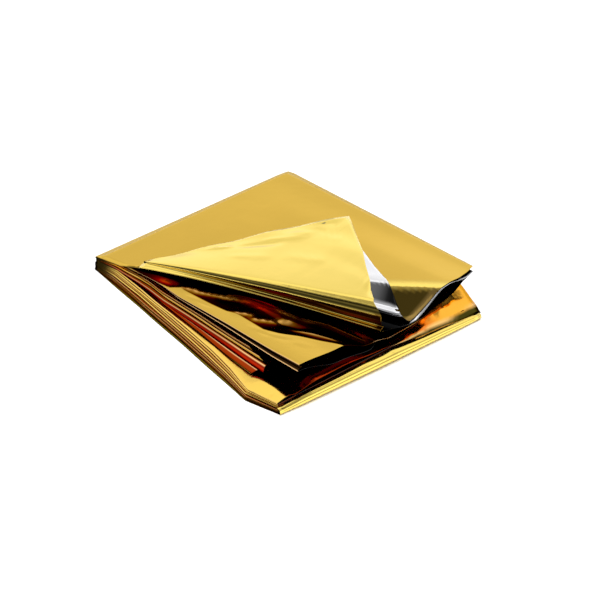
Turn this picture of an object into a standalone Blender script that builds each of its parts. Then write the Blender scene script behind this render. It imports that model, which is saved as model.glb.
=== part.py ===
"""Emergency foil blanket, folded back and forth into a flat packet.

One sheet. The film is drawn 1 mm thick and as nine layers, each standing for a
few of the real films. The packet lies on the floor, +Z up. Before the final
shift, X runs along the front-left side from the left corner to the front one,
and Y runs from there to the back-right side. Lengths in the tables are mm.
"""

import math

import bmesh
import bpy
import numpy as np

for old in list(bpy.data.objects):
    bpy.data.objects.remove(old, do_unlink=True)

MM = 0.001
FILM = 1.0          # thickness of one drawn layer
PITCH = 1.4         # layer to layer where the packet is pressed flat
COLUMNS = 26        # mesh columns from the left edge to the front-right edge
ROWS = 6            # mesh rows across one layer
FOLD_ROWS = 4       # mesh rows round one fold
FOLD_BULGE = 2.2    # most a wide fold stands out past its layers
RIPPLE = 0.35       # height of the soft waves where a layer has room
UNEVEN = 0.7        # how far the layers' back-left ends stand in and out

# Plan of each layer, top one first: left, front, right and back corners.
# belly is how far the front-right edge bows out at its middle, knee how far
# the front-left edge stands out near its front end.
LAYERS = [
    # left_y, front_x, front_y, right_x, right_y, back_y, belly, knee
    (4.2, 246.6, 116.4, 249.5, 213.2, 230.4, 4.0, 0.0),
    (4.0, 251.5, 14.5, 251.0, 212.0, 230.6, 1.5, 0.0),
    (3.6, 250.5, 12.5, 252.5, 203.0, 229.4, 4.5, 0.0),
    (3.4, 228.0, -4.0, 249.0, 200.0, 229.0, 9.0, 0.8),
    (3.2, 235.0, -7.0, 256.0, 200.5, 229.6, 9.0, 2.0),
    (3.0, 247.0, -8.0, 264.5, 202.0, 230.1, 2.0, 4.5),
    (2.7, 248.5, -9.0, 266.5, 201.0, 229.7, 1.0, 6.5),
    (2.4, 250.0, -10.0, 268.5, 200.6, 230.3, 0.5, 8.6),
    (2.2, 255.0, -11.0, 274.0, 199.8, 230.8, 0.0, 10.0),
]
LEFT_X = -7.6
BACK_X = -4.0
KNEE_AT = 23 / 26   # where along X the knee is
RIGHT_STEP = 5.0    # bottom layers stand out this far near the right corner

# Height of each layer's middle along the front-right side, at these Y.
FAN_Y = (-12.0, 14.0, 55.0, 95.0, 140.0, 175.0, 213.0)
FAN = [
    (34.0, 34.0, 34.0, 35.0, 36.5, 37.5, 33.5),
    (30.5, 30.0, 27.5, 15.0, 15.6, 21.0, 29.6),
    (26.0, 26.0, 16.0, 9.4, 12.0, 17.0, 27.2),
    (13.0, 12.5, 9.6, 7.9, 8.8, 10.6, 12.2),
    (9.6, 9.2, 7.4, 6.3, 6.9, 7.8, 8.4),
    (5.1, 5.0, 4.8, 4.7, 4.8, 4.9, 4.9),
    (3.4, 3.4, 3.3, 3.3, 3.3, 3.3, 3.3),
    (1.9, 1.9, 1.9, 1.9, 1.9, 1.9, 1.9),
    (0.5, 0.5, 0.5, 0.5, 0.5, 0.5, 0.5),
]

# The crease that turns the top layer's front corner back over itself.
CREASE_COLUMN = 4               # first column that has the flap
CREASE_START = (33.0, 25.0)     # outermost line of its roll
CREASE_ANGLE = math.radians(20.5)
CREASE_LENGTH = (232.0, 215.0)  # where the roll starts, and where it ends
ROLL_RADIUS = (1.0, 11.0)       # left end, right end
ROLL_ROWS = 7
FLAP_ROWS = 6
TIP_COLUMN = 10                 # flap columns from the left end to the tip
FREE_EDGE = [(-7.6, 4.2), (24.0, 8.5), (33.0, 25.0)]

# Flap outline: x, y, and height over the layer below, round from the left.
FLAP_LEFT = [
    (35.0, 33.0, 1.8),
    (48.5, 65.0, 1.8),
    (57.0, 87.0, 1.9),
    (66.5, 108.7, 2.0),
    (76.5, 136.0, 2.2),
    (89.0, 161.5, 2.2),
    (108.8, 204.3, 2.6),
]
FLAP_RIGHT = [
    (108.8, 204.3, 2.6),
    (149.8, 177.2, 3.4),
    (177.4, 157.6, 4.6),
    (205.0, 134.0, 7.5),
    (223.0, 117.5, 12.0),
]

# The bottom layer's front-right side, rolled up: Y, radius.
HEM_ROLL = [(-12.0, 2.5), (12.0, 4.1), (90.0, 4.8), (150.0, 4.4), (201.0, 3.4)]
HEM_ARC = 7
HEM_LIP = 3.0


def ease(a, b, x):
    """0 below a, 1 above b, smooth between."""
    t = min(max((x - a) / (b - a), 0.0), 1.0)
    return t * t * (3.0 - 2.0 * t)


def blend(xs, ys, x):
    """Value at x of a smooth curve through the knots."""
    for i in range(len(xs) - 1):
        if x <= xs[i + 1]:
            return ys[i] + (ys[i + 1] - ys[i]) * ease(xs[i], xs[i + 1], x)
    return ys[-1]


def along_crease(x, y):
    """Distance along the crease, and distance behind its front line."""
    dx = x - CREASE_START[0]
    dy = y - CREASE_START[1]
    cos = math.cos(CREASE_ANGLE)
    sin = math.sin(CREASE_ANGLE)
    return dx * cos + dy * sin, dy * cos - dx * sin


def crease_point(run, back):
    """Plan point so far along the crease and so far behind its front line."""
    cos = math.cos(CREASE_ANGLE)
    sin = math.sin(CREASE_ANGLE)
    x = CREASE_START[0] + run * cos - back * sin
    y = CREASE_START[1] + run * sin + back * cos
    return x, y


def roll_radius(u):
    return ROLL_RADIUS[0] + (ROLL_RADIUS[1] - ROLL_RADIUS[0]) * u


def height(layer, x, y):
    """Height of a layer's middle at a plan point."""
    flat = FILM / 2 + PITCH * (len(LAYERS) - 1 - layer)
    if layer == len(LAYERS) - 1:
        return flat
    share = min(max((x - LEFT_X) / 262.0, 0.0), 1.06)
    top = blend(FAN_Y, FAN[layer], y)
    z = flat + (top - flat) * share
    room = blend(FAN_Y, FAN[layer - 1], y) - top - PITCH if layer else 2.0
    wave = math.sin(x / 17.0 + layer) * math.sin(y / 23.0 + 1.7 * layer)
    z += RIPPLE * min(max(room, 0.0) / 2.0, 1.0) * share * wave
    if layer == 0:
        run, back = along_crease(x, y)
        u = min(max(run / CREASE_LENGTH[0], 0.0), 1.0)
        near = 1.0 - ease(8.0 * u, 14.0 + 42.0 * u, back - roll_radius(u))
        z -= 17.0 * u ** 1.6 * near
    return z


def plan(layer, s, t):
    """Plan point of a layer: s from left to front, t from front-left to back-right."""
    left_y, front_x, front_y, right_x, right_y, back_y, belly, knee = LAYERS[layer]
    end = UNEVEN * math.sin(2.4 * layer)
    if layer == 0:
        near_x, near_y = front_line(s)
    else:
        near_x = LEFT_X + end + (front_x - LEFT_X - end) * s
        near_y = left_y + (front_y - left_y) * s
        out = s / KNEE_AT if s < KNEE_AT else (1.0 - s) / (1.0 - KNEE_AT)
        near_y -= knee * out
        near_y += 0.5 * math.sin(9.0 * s + 2.1 * layer) * math.sin(math.pi * s)
    far_x = BACK_X + end + (right_x - BACK_X - end) * s
    far_y = back_y + (right_y - back_y) * s
    if layer > 4:
        far_y += RIGHT_STEP * ease(0.0, 0.88, s) * (1.0 - ease(0.88, 1.0, s))
    x = near_x + (far_x - near_x) * t
    y = near_y + (far_y - near_y) * t
    x += belly * math.sin(math.pi * t) * s ** 6
    return x, y


def front_line(s):
    """Front edge of the top layer: its free edge, then the start of the roll."""
    first = CREASE_COLUMN / COLUMNS
    if s < first:
        total = s / first * 2.0
        i = min(int(total), 1)
        a = FREE_EDGE[i]
        b = FREE_EDGE[i + 1]
        f = total - i
        return a[0] + (b[0] - a[0]) * f, a[1] + (b[1] - a[1]) * f
    u = (s - first) / (1.0 - first)
    return crease_point(u * CREASE_LENGTH[0], roll_radius(u))


def layer_point(layer, s, t):
    x, y = plan(layer, s, t)
    return np.array((x, y, height(layer, x, y)))


def fold_row(layer, s, side, k):
    """Point round the fold that joins a layer to the one below it."""
    upper = layer_point(layer, s, side)
    lower = layer_point(layer + 1, s, side)
    inside = layer_point(layer, s, 0.9 if side else 0.1)
    out = upper - inside
    out[2] = 0.0
    out /= np.linalg.norm(out)
    half = (upper - lower) / 2
    angle = math.pi * k / (FOLD_ROWS + 1)
    bulge = min(max(half[2], FILM * 0.62), FOLD_BULGE)
    return (upper + lower) / 2 + half * math.cos(angle) + out * bulge * math.sin(angle)


def sheet_rows():
    """Every row of the folded sheet, from the top layer's front edge down."""
    rows = []
    steps = [k / ROWS for k in range(ROWS + 1)]
    for layer in range(len(LAYERS)):
        ts = steps if layer % 2 == 0 else steps[::-1]
        for t in ts:
            rows.append([layer_point(layer, j / COLUMNS, t) for j in range(COLUMNS + 1)])
        if layer + 1 < len(LAYERS):
            side = ts[-1]
            for k in range(1, FOLD_ROWS + 1):
                row = [fold_row(layer, j / COLUMNS, side, k) for j in range(COLUMNS + 1)]
                rows.append(row)
    return rows


def outline_point(table, f):
    """Point a share f of the way along an outline, by its length in plan."""
    pts = np.array(table)
    runs = np.linalg.norm(np.diff(pts[:, :2], axis=0), axis=1)
    ends = np.concatenate(([0.0], np.cumsum(runs)))
    at = f * ends[-1]
    return np.array([np.interp(at, ends, pts[:, c]) for c in range(3)])


def flap_rows(first_row):
    """Rows of the roll and the flap, from the start of the roll to the outline."""
    count = COLUMNS - CREASE_COLUMN
    rows = []
    tops = []
    for k in range(1, ROLL_ROWS + 1):
        angle = -math.pi / 2 + math.pi * k / ROLL_ROWS
        run_end = CREASE_LENGTH[0] + (CREASE_LENGTH[1] - CREASE_LENGTH[0]) * k / ROLL_ROWS
        row = []
        for j in range(count + 1):
            u = j / count
            radius = roll_radius(u)
            x, y = crease_point(u * run_end, radius * (1.0 - math.cos(angle)))
            z = first_row[CREASE_COLUMN + j][2] + radius * (1.0 + math.sin(angle))
            row.append(np.array((x, y, z)))
        rows.append(row)
        tops = row
    for k in range(1, FLAP_ROWS + 1):
        w = k / FLAP_ROWS
        row = []
        for j in range(count + 1):
            if j <= TIP_COLUMN:
                end = outline_point(FLAP_LEFT, j / TIP_COLUMN)
            else:
                end = outline_point(FLAP_RIGHT, (j - TIP_COLUMN) / (count - TIP_COLUMN))
            over = height(0, end[0], end[1]) + end[2]
            start = tops[j]
            p = start + (np.array((end[0], end[1], over)) - start) * w
            p[2] += (start[2] - over) * (ease(0.0, 1.0, 1.0 - w) - (1.0 - w)) * 0.6
            row.append(p)
        rows.append(row)
    return rows


def hem_columns(edge):
    """Columns beyond the bottom layer's front-right edge, rolled up and over."""
    columns = []
    ys = [row[0] for row in HEM_ROLL]
    radii = [row[1] for row in HEM_ROLL]
    out = np.array((1.0, -0.08, 0.0))
    out /= np.linalg.norm(out)
    for k in range(1, HEM_ARC + 1):
        angle = -math.pi / 2 + math.radians(192.0) * k / HEM_ARC
        column = []
        for p in edge:
            radius = blend(ys, radii, p[1])
            lift = np.array((0.0, 0.0, radius * (1.0 + math.sin(angle))))
            column.append(p + out * radius * math.cos(angle) + lift)
        columns.append(column)
    drop = math.tan(math.radians(12.0)) * HEM_LIP
    columns.append([p - out * HEM_LIP - np.array((0.0, 0.0, drop)) for p in columns[-1]])
    return columns


def add_faces(bm, grid, flip=False):
    for upper, lower in zip(grid[:-1], grid[1:]):
        for a, b, c, d in zip(upper[:-1], upper[1:], lower[1:], lower[:-1]):
            bm.faces.new((a, d, c, b) if flip else (a, b, c, d))


def folded_sheet():
    bm = bmesh.new()
    rows = sheet_rows()
    grid = [[bm.verts.new(p) for p in row] for row in rows]
    add_faces(bm, grid)

    flap = [[bm.verts.new(p) for p in row] for row in flap_rows(rows[0])]
    add_faces(bm, [grid[0][CREASE_COLUMN:]] + flap, flip=True)

    bottom = grid[-(ROWS + 1):]
    edge = [row[-1] for row in bottom]
    hem = [edge]
    for column in hem_columns([np.array(v.co) for v in edge]):
        hem.append([bm.verts.new(p) for p in column])
    add_faces(bm, hem, flip=True)

    bmesh.ops.recalc_face_normals(bm, faces=bm.faces)
    bmesh.ops.scale(bm, vec=(MM, MM, MM), verts=bm.verts)
    mesh = bpy.data.meshes.new("foil_blanket")
    bm.to_mesh(mesh)
    bm.free()
    return mesh


gold = bpy.data.materials.new("gold_film")
gold.use_nodes = True
shader = gold.node_tree.nodes["Principled BSDF"]
shader.inputs["Base Color"].default_value = (0.83, 0.55, 0.13, 1.0)
shader.inputs["Metallic"].default_value = 1.0
shader.inputs["Roughness"].default_value = 0.12

collection = bpy.data.collections.new("emergency_foil_blanket")
bpy.context.scene.collection.children.link(collection)

blanket = bpy.data.objects.new("foil_blanket", folded_sheet())
collection.objects.link(blanket)
blanket.data.materials.append(gold)

thick = blanket.modifiers.new("film thickness", "SOLIDIFY")
thick.thickness = FILM * MM
thick.offset = 0.0
thick.use_quality_normals = True

# Centre the finished outline on the origin, its underside on the floor.
bpy.context.view_layer.update()
box = np.array(blanket.evaluated_get(bpy.context.evaluated_depsgraph_get()).bound_box)
low = box.min(axis=0)
high = box.max(axis=0)
shift = ((low[0] + high[0]) / 2, (low[1] + high[1]) / 2, low[2])
for vertex in blanket.data.vertices:
    vertex.co.x -= shift[0]
    vertex.co.y -= shift[1]
    vertex.co.z -= shift[2]
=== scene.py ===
"""Emergency foil blanket: 64 layers of gold and silver film, folded into a flat packet.

Tables are in mm, before the shift to the row frame: X runs along the front-left side from the left
corner to the front one, Y from there to the back-right side, Z up from the floor.
"""
import math

import bpy
import numpy as np
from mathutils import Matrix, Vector


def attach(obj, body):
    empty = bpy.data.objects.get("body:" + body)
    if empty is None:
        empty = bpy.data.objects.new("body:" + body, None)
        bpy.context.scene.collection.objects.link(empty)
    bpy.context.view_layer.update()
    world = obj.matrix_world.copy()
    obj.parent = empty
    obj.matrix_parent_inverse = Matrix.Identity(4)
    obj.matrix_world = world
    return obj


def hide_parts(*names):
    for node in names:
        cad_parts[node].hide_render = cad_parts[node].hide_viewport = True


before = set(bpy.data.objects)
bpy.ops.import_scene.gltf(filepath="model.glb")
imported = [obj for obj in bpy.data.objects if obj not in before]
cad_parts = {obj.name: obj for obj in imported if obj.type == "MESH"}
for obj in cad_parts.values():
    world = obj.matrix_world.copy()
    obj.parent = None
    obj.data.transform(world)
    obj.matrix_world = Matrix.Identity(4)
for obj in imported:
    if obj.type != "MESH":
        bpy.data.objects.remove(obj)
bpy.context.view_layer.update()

MM = 0.001
SHIFT = np.array((134.76, 105.73, 0.0))

# ------------------------------------------------------------------ the folded sheet, in tables

FILMS = 64
FILM_THICKNESS = 0.012
MIDDLE = 2              # top film of the middle group
INNER = 16              # top film of the bottom group, which lies inside the rolled-up hem
LOWEST = FILMS - 1      # the film that is rolled up

TOP_Z, LOW_Z = 12.1, 0.1        # heights of the top and lowest film where the packet is pressed flat
LEFT_X = -9.6
BACK_X = -7.0
FAN_SPAN, FAN_REACH = 262.0, 1.06       # length over which the films fan out, and the most of it
KNEE_AT = 0.885                 # share of the front-left edge at which its bevel begins

# How far the front-left edges bow in, by the share of the edge: above INNER, and from INNER down.
BOW_AT = (0.0, 0.1, 0.25, 0.32, 0.42, 0.57, 0.66, 0.77, 0.88, 1.0)
BOW_TOP = (0.0, 0.8, 1.0, 0.95, 0.58, 0.48, 0.4, 0.22, 0.05, 0.0)
BOW_LOW = (0.0, 0.8, 0.95, 0.95, 1.0, 1.0, 0.95, 0.7, 0.2, 0.0)

# How far loose edges stray, for a whole bundle and for each pair of films in it, and are set in.
STRAY_LEFT, LEFT_INSET = (0.7, 0.3), 1.2
STRAY_FRONT = (1.6, 0.6)
STRAY_SIDE = (0.7, 0.15)
STRAY_RIGHT = (0.8, 0.0)
STRAY_BACK, BACK_INSET = (0.5, 0.2), 0.6
ROUNDED_BACK = 1.6              # how far the back-left corner is cut in
LONG_WAVE, SHORT_WAVE = (0.35, 8.0), (0.2, 23.0)        # of the front-left edges: height, radians
BELLY_POWER, EDGE_POWER = 6, 8  # how soon a front-right edge's bow and bends die away inwards

# Tints over the plain film: red, green, blue, and the same for the silver lining. Apart from the plain
# one they are painted light: deep between the layers the film only mirrors more film, so painted
# reflection turns its gold orange, red and brown, painted shade darkens gaps and hidden films, and the
# paler tints are painted highlights.
PLAIN = (1.0, 1.0, 1.0, 1.0)
# painted shade: plain film dimmed, on the flat top and the middle sheet
CALM = (0.76, 0.735, 0.63, 1.0)
# painted highlight: plain film brightened, on the flap and its roll
BRIGHT = (1.0, 1.14, 1.35, 1.0)
# painted highlight on fold crests and along edges
PEACH = (0.95, 0.88, 2.1, 0.3)
# painted reflection, amber, red and brown, on the faces of folds and on the sheet inside the hem
AMBER = (0.62, 0.50, 0.35, 0.2)
RED = (0.27, 0.022, 0.035, 0.05)
DEEP_RED = (0.36, 0.06, 0.03, 0.05)
BROWN = (0.21, 0.12, 0.06, 0.05)
# painted shade: olive on the film above the lowest one, and dark in the gaps between folds
OLIVE = (0.16, 0.17, 0.12, 0.1)
DARK = (0.025, 0.015, 0.018, 0.05)
# painted shade at the left end of the films
LEFT_END_SHADE = (0.045, 0.05, 0.07, 0.05)
# painted shade on the folds along the back-right side
BACK_FOLD = (0.7, 0.7, 0.6, 0.85)       # folds along the back-right side
# on the top film: a painted highlight on the shoulder, painted shade on the slope and along its
# front-right edge
SHOULDER = (1.08, 1.25, 1.6, 1.0)       # where the top film begins to tilt
SLOPE = (0.125, 0.125, 0.12, 1.0)       # where it slopes down to the roll
RIM = (0.34, 0.33, 0.5, 1.0)            # its front-right edge
# painted shade on the roll
ROLL_SHADE = (0.26, 0.2, 0.12, 0.05)    # lower half of the roll
# painted shade on the middle sheet, and painted glints on its creases
SUNKEN = (0.10, 0.045, 0.028, 0.12)     # middle sheet beyond the sink line
GLINT = (0.9, 0.75, 0.9, 0.12)          # its creases
# painted shade on the sheet under the middle one, and a painted reflection that greys its silver where
# the mouth opens
MOUTH = (0.4, 0.12, 0.08, 0.04)         # sheet under the middle one
GREY_MOUTH = (0.4, 0.12, 0.08, 0.4)
# painted shadow, painted reflections in maroon, orange and yellow, a painted highlight on the lip's
# crease and painted shade beyond the lip, all on the sheet inside the hem
SHADOW = (0.08, 0.05, 0.05, 0.05)       # sheet inside the hem, from the left end to the mouth,
MAROON = (0.42, 0.07, 0.045, 0.05)      # in the mouth,
ORANGE = (0.85, 0.30, 0.12, 0.1)        # and towards its right end
YELLOW = (1.0, 0.72, 0.40, 0.1)
CREAM = (1.0, 0.9, 1.6, 0.1)            # crease at its lip
WEDGE = (0.06, 0.075, 0.06, 0.05)       # beyond the lip
# painted highlight on the rolled-up hem
HEM = (1.0, 1.14, 1.35, 0.1)
# painted shade on the films that barely show
HIDDEN = (0.30, 0.09, 0.05, 0.05)

# Films lie in bundles, pressed close together, with room between one bundle and the next:
# first film, tint of the bundle's top crease and of its face along the front-left side. The tints are
# painted light: a painted highlight on the crease, painted reflection and shade on the face.
BUNDLES = [
    (0, PLAIN, PLAIN),
    (2, PEACH, DARK),
    (3, DARK, DARK),
    (4, PEACH, BROWN),
    (8, PEACH, AMBER),
    (10, PEACH, RED),
    (12, PEACH, DEEP_RED),
    (14, AMBER, DARK),
    (16, PEACH, PLAIN),
    (22, PEACH, PLAIN),
    (28, PEACH, AMBER),
    (36, PEACH, PLAIN),
    (44, PEACH, BROWN),
    (52, PEACH, BROWN),
    (59, DARK, DARK),
]

# Key films of the stack; the ones between are spaced between them. Columns: film, plan of its left,
# front, right and back corners, how far its front-right edge bows out, how far its front-left edge
# stands out at its bevel, and how far it bows in near the left.
STACK = [
    # film, left_y, front_x, front_y, right_x, right_y, back_y, belly, knee, bow
    (0, 3.2, 257.3, 132.2, 250.6, 216.4, 233.4, 0.0, 0.0, 0.0),
    (1, 3.2, 248.3, 106.0, 251.4, 216.2, 233.4, 0.0, 0.0, 0.0),
    (2, 3.0, 251.5, 13.4, 251.0, 215.0, 233.0, 0.0, 0.0, 8.0),
    (3, 2.7, 250.9, 12.0, 228.0, 212.0, 232.8, 0.0, 0.0, 10.5),
    (4, 2.5, 195.0, 9.8, 226.0, 208.0, 232.9, 0.0, 0.0, 8.0),
    (9, 2.4, 214.0, 7.2, 226.0, 207.0, 232.7, 0.0, 0.0, 6.0),
    (10, 2.3, 222.0, 5.6, 226.0, 204.0, 232.6, 0.0, 0.0, 4.6),
    (11, 2.3, 222.0, 3.4, 226.0, 204.0, 232.6, 0.0, 0.0, 5.0),
    (12, 2.2, 212.0, 3.2, 226.0, 204.0, 232.5, 0.0, 0.0, 5.5),
    (13, 2.1, 209.0, -1.6, 226.0, 203.5, 232.5, 0.0, 0.0, 8.2),
    (15, 2.0, 207.0, -3.4, 228.0, 203.0, 232.4, 0.0, 0.0, 9.6),
    (16, 1.9, 252.5, -10.4, 267.0, 203.5, 232.6, -1.5, 8.5, 9.4),
    (40, 1.1, 253.5, -12.0, 261.0, 203.0, 233.1, -1.5, 9.5, 5.2),
    (61, 0.3, 255.6, -13.4, 261.0, 202.0, 233.7, -1.5, 9.8, 1.8),
    (62, 0.3, 255.8, -13.6, 273.0, 202.0, 233.7, 0.0, 9.9, 0.0),
    (63, 0.2, 256.4, -13.8, 275.0, 201.0, 233.8, 0.0, 10.0, 0.0),
]

# Heights of the key films along the front-right side, at each FAN_Y.
FAN_Y = (-12.0, 14.0, 55.0, 95.0, 118.0, 140.0, 175.0, 213.0)
FAN_HEIGHTS = {
    0: (34.3, 34.3, 34.3, 35.3, 36.0, 36.8, 37.8, 34.6),
    1: (33.9, 33.9, 33.9, 34.9, 35.3, 36.3, 37.0, 29.5),
    2: (33.2, 33.0, 29.0, 18.5, 13.4, 14.5, 21.0, 32.0),
    3: (26.5, 26.2, 16.0, 9.6, 9.4, 10.6, 13.0, 20.0),
    4: (23.2, 23.2, 14.5, 9.2, 9.2, 10.2, 12.0, 17.0),
    9: (19.9, 19.9, 12.4, 8.8, 8.9, 9.6, 11.0, 15.0),
    10: (19.1, 19.1, 12.2, 8.6, 8.7, 9.4, 10.6, 14.0),
    11: (11.8, 11.8, 9.5, 8.2, 8.3, 8.8, 9.6, 11.6),
    12: (11.5, 11.5, 9.2, 8.0, 8.1, 8.6, 9.4, 11.2),
    13: (7.9, 7.9, 7.4, 7.0, 7.1, 7.4, 8.2, 9.6),
    15: (7.5, 7.5, 7.0, 6.8, 6.8, 7.0, 7.6, 9.0),
    16: (6.6, 6.6, 6.1, 6.0, 6.0, 6.2, 6.8, 8.4),
    40: (3.2, 3.2, 3.0, 3.0, 3.0, 3.0, 3.4, 4.0),
    61: (0.6,) * len(FAN_Y),
    62: (0.35,) * len(FAN_Y),
    63: (0.1,) * len(FAN_Y),
}
RIGHT_STEP, STEP_AT = 5.0, 0.88     # how far the bottom group's back-right side stands out, and where

# Long humps pressed up in a film: height, Xs of its rise, Xs of its fall, Ys of its rise, Ys of its
# fall, and the share of the height that it falls by.
HUMPS = {
    INNER: [
        (9.0, (228.0, 243.0), (243.0, 265.0), (105.0, 165.0), (185.0, 203.0), 0.4),
        (5.5, (234.0, 246.0), (246.0, 257.5), (8.0, 32.0), (70.0, 100.0), 1.0),
    ],
    LOWEST - 1: [
        (4.5, (262.0, 272.0), (290.0, 300.0), (150.0, 198.0), (230.0, 240.0), 1.0),
    ],
}

# The sheet inside the hem: how steeply its front corner rises, and where.
CORNER_RISE, CORNER_X = 0.19, (206.0, 226.0)
CORNER_Y, CORNER_END_Y = (-14.0, -1.0), (0.5, 8.0)
# At its right end it bends down towards the hem along this line (Y, X), so steeply and so far.
LIP_LINE = [(105.0, 258.5), (113.0, 259.3), (140.0, 262.0), (170.0, 264.2), (203.0, 266.5)]
LIP_FALL, LIP_REACH = 0.62, 12.0
LIP_Y = (105.0, 112.0)

# The crease that turns the top films' front corner back over itself.
CREASE_COLUMN = 9
CREASE_START = (33.0, 25.0)
CREASE_ANGLE = math.radians(20.5)
ROLL_RADIUS = (0.9, 11.0)
FREE_EDGE = [(LEFT_X, 3.2), (24.0, 8.5), (35.8, 17.2)]
LEDGE, LEDGE_UNDER = 8.6, 0.5           # flat strip before the roll's left end, and its part below it
INNER_AHEAD, INNER_AHEAD_END = 2.0, 0.06        # how far ahead of it the inner film starts, and where
# Per film: run of the roll's start and end along the crease, added radius.
ROLL = {0: (247.8, 238.0, -0.7), 1: (231.0, 219.0, 0.0)}
ROLL_RUN = 232.0        # where the roll is as wide as it gets

# Painted shade: how much darker the front of the roll is painted, by the turn made round it in radians:
# 0 is its front.
ROLL_BAND_AT = (0.34, 0.44, 0.62, 0.72, 0.82, 0.88)
ROLL_BAND_DARK = (0.0, 0.94, 0.94, 0.76, 0.76, 0.0)

# The top films slope down to the roll, where film 1 goes round outside film 0. Beyond the roll's
# right end only film 0, the inner one, goes on: it is set back up the slope, and turned over tightly.
SLOPE_WIDTH, SLOPE_DROP, SLOPE_SPREAD = 36.2, 17.0, 1.6
SHOULDER_WIDTH, SHOULDER_TILT = 9.0, 0.11
FOOT_SHARE = 0.13       # share of the drop that is left below the foot, where the roll is bare
FOOT_ROOM = 0.3
SET_BACK = 16.0
TURN_BEYOND = 5.0
TIGHT_RADIUS = 3.0

# The top films curl up along their front-right edge, so steeply and so wide, between these Ys.
CURL_RISE, CURL_WIDTH = 0.22, 5.5
CURL_Y, CURL_END_Y = (126.0, 134.0), (160.0, 168.0)

# Front-right edges that aren't straight in plan: Y, X.
EDGES = {
    0: [(132.2, 257.3), (155.0, 258.2), (171.0, 257.4), (191.0, 257.0), (206.0, 253.6), (216.4, 250.6)],
    1: [(106.0, 248.3), (120.0, 254.0), (132.5, 259.8), (148.0, 259.4), (157.0, 258.9), (171.0, 258.0),
        (191.0, 257.6), (206.0, 254.4), (216.2, 251.4)],
    2: [(13.4, 251.5), (60.0, 252.5), (118.0, 252.5), (135.0, 253.8), (190.0, 253.8), (215.0, 251.0)],
    3: [(12.0, 250.9), (60.0, 254.0), (90.0, 254.0), (110.0, 246.0), (130.0, 232.0), (212.0, 228.0)],
    16: [(-10.4, 252.5), (60.0, 254.5), (105.0, 258.4), (113.0, 261.0), (150.0, 267.5), (180.0, 271.5),
         (203.5, 274.0)],
}

# Flap outline: X, Y, height over the sheet below. The left edge is shared by both films.
FLAP_LEFT = [
    (34.0, 30.5, 1.4),
    (42.0, 47.0, 1.6),
    (48.5, 65.0, 1.8),
    (57.0, 87.0, 1.9),
    (66.5, 108.7, 2.0),
    (76.5, 136.0, 2.2),
    (89.0, 161.5, 2.2),
    (108.8, 204.3, 2.6),
]
FLAP_RIGHT = {
    0: [
        (108.8, 204.3, 2.3),
        (132.4, 187.9, 2.4),
        (156.6, 170.5, 2.6),
        (176.2, 161.2, 2.8),
        (194.3, 153.1, 2.6),
        (209.7, 147.6, 2.4),
        (228.0, 139.7, 4.2),
        (236.5, 136.4, 2.6),
        (239.9, 135.6, 1.5),
    ],
    1: [
        (108.8, 204.3, 2.7),
        (149.0, 177.0, 3.2),
        (168.0, 164.0, 3.9),
        (187.0, 148.5, 5.4),
        (205.4, 134.9, 6.2),
        (222.0, 121.5, 16.3),
    ],
}
TIP_AT = 0.47           # share of the flap's columns left of the tip
NEAR_SHARE = 0.42       # share of a film's depth that its near rows cover

# The bottom films' front-right side, rolled up: Y, radius.
HEM_ROLL = [(-12.0, 2.5), (12.0, 4.1), (90.0, 4.6), (150.0, 3.9), (201.0, 2.7)]
HEM_COLUMNS = 20
HEM_TURN = math.radians(205.0)
HEM_OUT = np.array((1.0, -0.08, 0.0)) / math.hypot(1.0, 0.08)
HEM_GROOVE, HEM_GROOVE_AT, HEM_GROOVE_WIDTH = 0.13, 22.0, 13.0      # depth, degrees round the roll
HEM_LIP, HEM_LIP_DROP = 2.2, 0.5
NOTCH, NOTCH_Y, NOTCH_WIDTH = 0.32, 96.0, 2.6
FLARE, FLARE_Y, FLARE_WIDTH = 0.10, 106.0, 7.0

# Places of the columns, from left to front, closer together at the front-right edge.
S = np.concatenate([np.linspace(0.0, 0.95, 58), (0.963, 0.975, 0.985, 0.993, 0.998, 1.0)])


# ------------------------------------------------------------------ small curve helpers

def ease(a, b, x):
    """0 below a, 1 above b, smooth between."""
    t = np.clip((np.asarray(x, float) - a) / (b - a), 0.0, 1.0)
    return t * t * (3.0 - 2.0 * t)


def blend(xs, ys, x):
    """Smooth curve through the knots, read at x."""
    x = np.asarray(x, float)
    out = np.full(x.shape, float(ys[0]))
    for x0, x1, y0, y1 in zip(xs[:-1], xs[1:], ys[:-1], ys[1:]):
        out += (y1 - y0) * ease(x0, x1, x)
    return out


def read(table, at):
    """Value of a table of (place, value) pairs, straight between them."""
    return np.interp(at, [pair[0] for pair in table], [pair[1] for pair in table])


def along_crease(x, y):
    """Distance along the crease, and distance behind its front line."""
    dx, dy = x - CREASE_START[0], y - CREASE_START[1]
    cos, sin = math.cos(CREASE_ANGLE), math.sin(CREASE_ANGLE)
    return dx * cos + dy * sin, dy * cos - dx * sin


def crease_point(run, back):
    """Plan point so far along the crease and so far behind its front line."""
    cos, sin = math.cos(CREASE_ANGLE), math.sin(CREASE_ANGLE)
    return CREASE_START[0] + run * cos - back * sin, CREASE_START[1] + run * sin + back * cos


def roll_radius(u):
    """Radius of the roll a share u of the way along it."""
    return ROLL_RADIUS[0] + (ROLL_RADIUS[1] - ROLL_RADIUS[0]) * np.asarray(u, float)


def bare(u):
    """0 where the outer top film covers the roll, 1 where it has ended."""
    return ease(0.62, 0.92, u)


def slope_foot(u):
    """How far behind the crease's front line the top films' slope ends."""
    return roll_radius(u) + SET_BACK * bare(u)


def slope_top(u):
    """How far behind the crease's front line the top films' slope begins."""
    return roll_radius(u) + SLOPE_WIDTH * u ** SLOPE_SPREAD


# ------------------------------------------------------------------ where each film lies

random = np.random.default_rng(7)
BUNDLE_STARTS = [first for first, _, _ in BUNDLES]
KEY_FILMS = [row[0] for row in STACK]
ABOVE_BUNDLE, PUFFED, PRESSED = 3.0, 5.0, 0.4       # relative room under a film


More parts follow.
